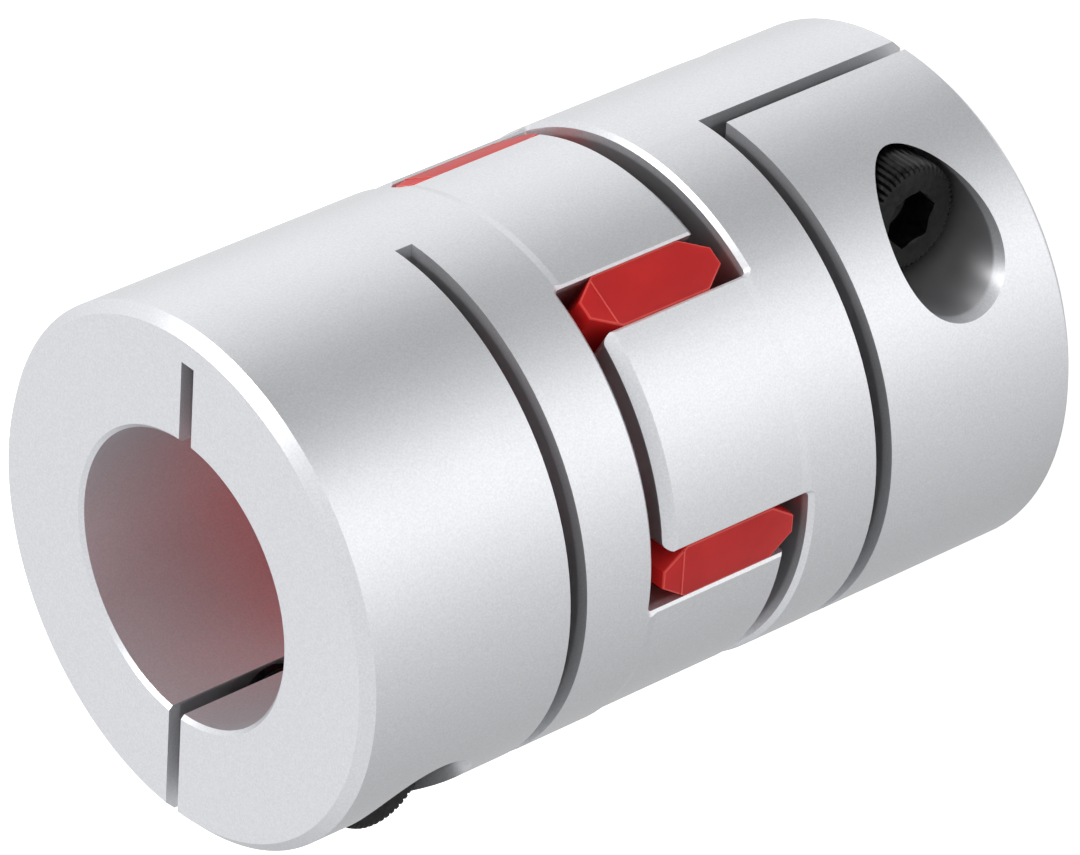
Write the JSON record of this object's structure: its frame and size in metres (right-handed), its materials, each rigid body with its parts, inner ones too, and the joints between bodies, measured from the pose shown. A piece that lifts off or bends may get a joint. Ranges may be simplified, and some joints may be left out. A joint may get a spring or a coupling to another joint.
{
  "type": "elastomer jaw coupling",
  "caption": "Shaft coupling: slotted clamp hubs with interlocking jaws either side of a red elastomer spider, each drawn tight by a socket head screw.",
  "frame": {"origin": "centre of the lower hub's end face, on the shaft axis", "axes": "+Z along the shaft axis towards the upper hub; both clamp screws lie along Y with their heads on the -Y side; the lower hub's clamp slit faces +X and the upper hub's faces -X"},
  "size_m": [0.04, 0.04, 0.0655],
  "materials": {
    "hub_aluminium": "turned and fine blasted, satin",
    "spider_polyurethane": "moulded, satin, red",
    "screw_black_oxide": "black oxide, oiled"
  },
  "bodies": {
    "root": {"lower_hub": "hub_aluminium", "upper_hub": "hub_aluminium", "spider": "spider_polyurethane", "lower_clamp_screw": "screw_black_oxide", "upper_clamp_screw": "screw_black_oxide"}
  },
  "joints": []
}
